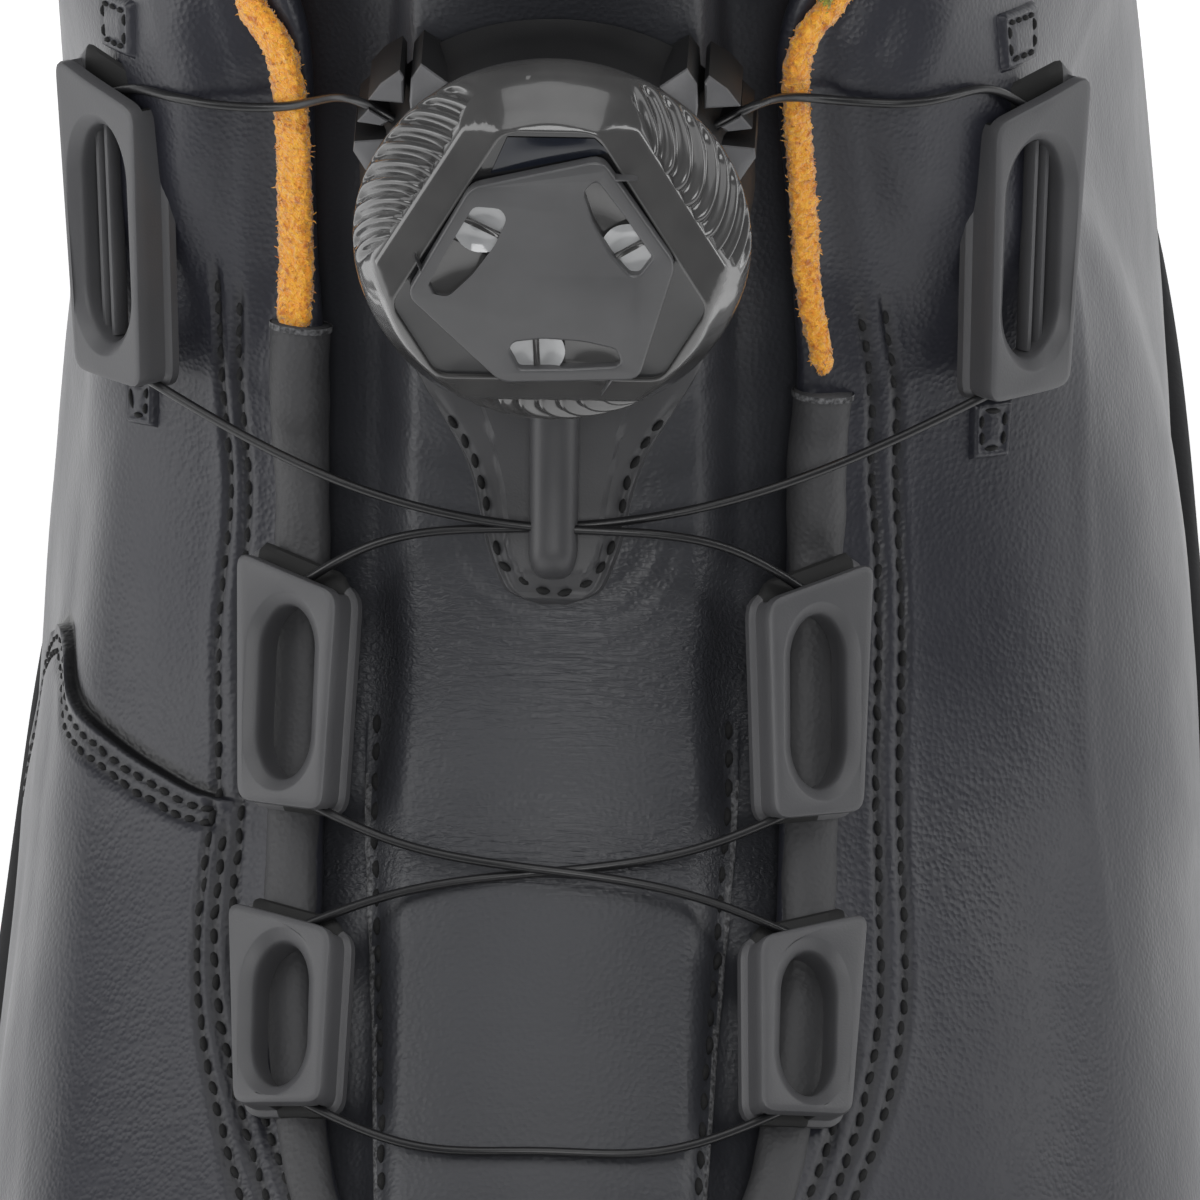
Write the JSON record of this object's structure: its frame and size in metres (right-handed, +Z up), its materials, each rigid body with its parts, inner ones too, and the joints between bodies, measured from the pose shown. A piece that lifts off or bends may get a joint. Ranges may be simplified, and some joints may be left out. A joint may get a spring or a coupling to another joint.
{
  "type": "safety shoe",
  "caption": "Ankle-high left safety shoe of smooth black leather with a padded collar, a lugged rubber sole and a wire lace that a dial tightens.",
  "frame": {"origin": "middle of the shoe's box in plan, on the floor that the sole stands on", "axes": "+Z up, +Y towards the heel with the toe to -Y, +X to the outer side of this left shoe"},
  "size_m": [0.115, 0.308, 0.1746],
  "materials": {
    "sole_rubber": "matte moulded",
    "leather": "smooth fine grain, satin",
    "insole_fabric": "matte knit",
    "black_plastic": "fine matte moulding",
    "smoky_plastic": "smoky gloss",
    "coated_wire": "smooth coating on steel wire",
    "lining_edge": "fleecy orange knit",
    "thread": "waxed black thread"
  },
  "bodies": {
    "root": {"outsole": "sole_rubber", "upper": "leather", "tongue": "leather", "insole": "insole_fabric", "dial_housing": "black_plastic", "dial_knob": "smoky_plastic", "guide_upper_medial": "black_plastic", "guide_upper_lateral": "black_plastic", "guide_mid_medial": "black_plastic", "guide_mid_lateral": "black_plastic", "guide_lower_medial": "black_plastic", "guide_lower_lateral": "black_plastic", "lace_top_medial": "coated_wire", "lace_top_lateral": "coated_wire", "lace_cross_upper": "coated_wire", "lace_cross_lower": "coated_wire", "lace_bar": "coated_wire"}
  },
  "joints": []
}
